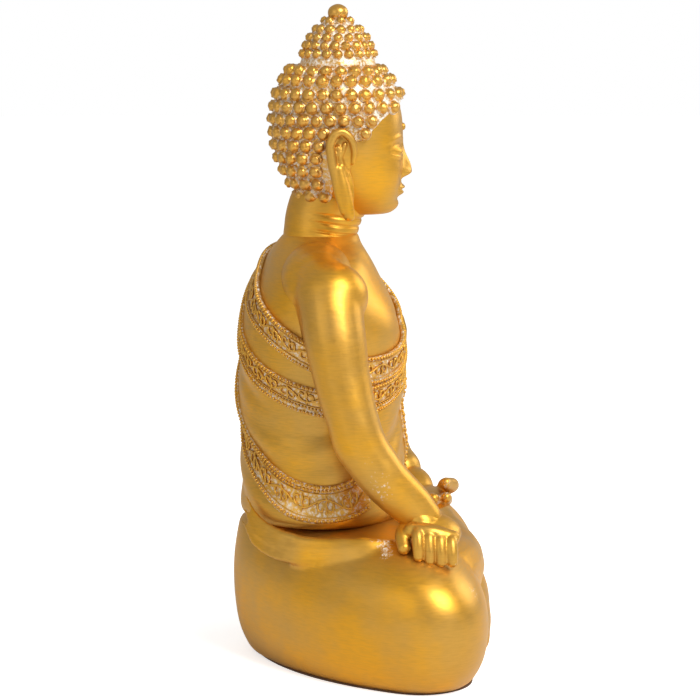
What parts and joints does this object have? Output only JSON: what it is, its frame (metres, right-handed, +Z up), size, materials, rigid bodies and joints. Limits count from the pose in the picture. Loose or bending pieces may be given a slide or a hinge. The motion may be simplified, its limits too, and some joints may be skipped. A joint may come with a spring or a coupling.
{
  "type": "buddha statue",
  "caption": "Seated meditating figure with crossed legs, robe with ornamented borders, snail-curl hair and a bun, on a flat felted underside, for display.",
  "frame": {"origin": "on the surface the statue stands on, under the middle of the seat", "axes": "+Z up, -Y the way the figure faces, -X the side of the figure's right hand"},
  "size_m": [0.2568, 0.1617, 0.3995],
  "materials": {
    "gilded_body": "resin casting under satin gold paint",
    "gilded_robe": "resin under satin gold paint",
    "gilded_ornament": "relief under gold paint with white wash in the hollows",
    "gilded_curls": "gold paint",
    "washed_hair": "gold paint under a white wash",
    "dowel_wood": "plain",
    "closing_board": "plain board",
    "felt": "felt"
  },
  "bodies": {
    "root": {"seat_casting": "gilded_body", "closing_plate": "closing_board", "felt_sheet": "felt", "torso_casting": "gilded_body", "robe_wrap": "gilded_robe", "neckline_border": "gilded_ornament", "chest_border": "gilded_ornament", "hip_border": "gilded_ornament", "front_border": "gilded_ornament", "shoulder_sash": "gilded_robe", "right_arm": "gilded_body", "right_arm_dowel": "dowel_wood", "right_hand": "gilded_body", "left_arm": "gilded_robe", "left_arm_dowel": "dowel_wood", "left_hand": "gilded_body", "head_casting": "gilded_body", "urna": "gilded_body", "hair_cap": "washed_hair", "hair_curls": "gilded_curls", "hair_bun": "washed_hair", "bun_curls": "gilded_curls", "finial": "gilded_curls", "right_ear": "gilded_body", "left_ear": "gilded_body"}
  },
  "joints": []
}
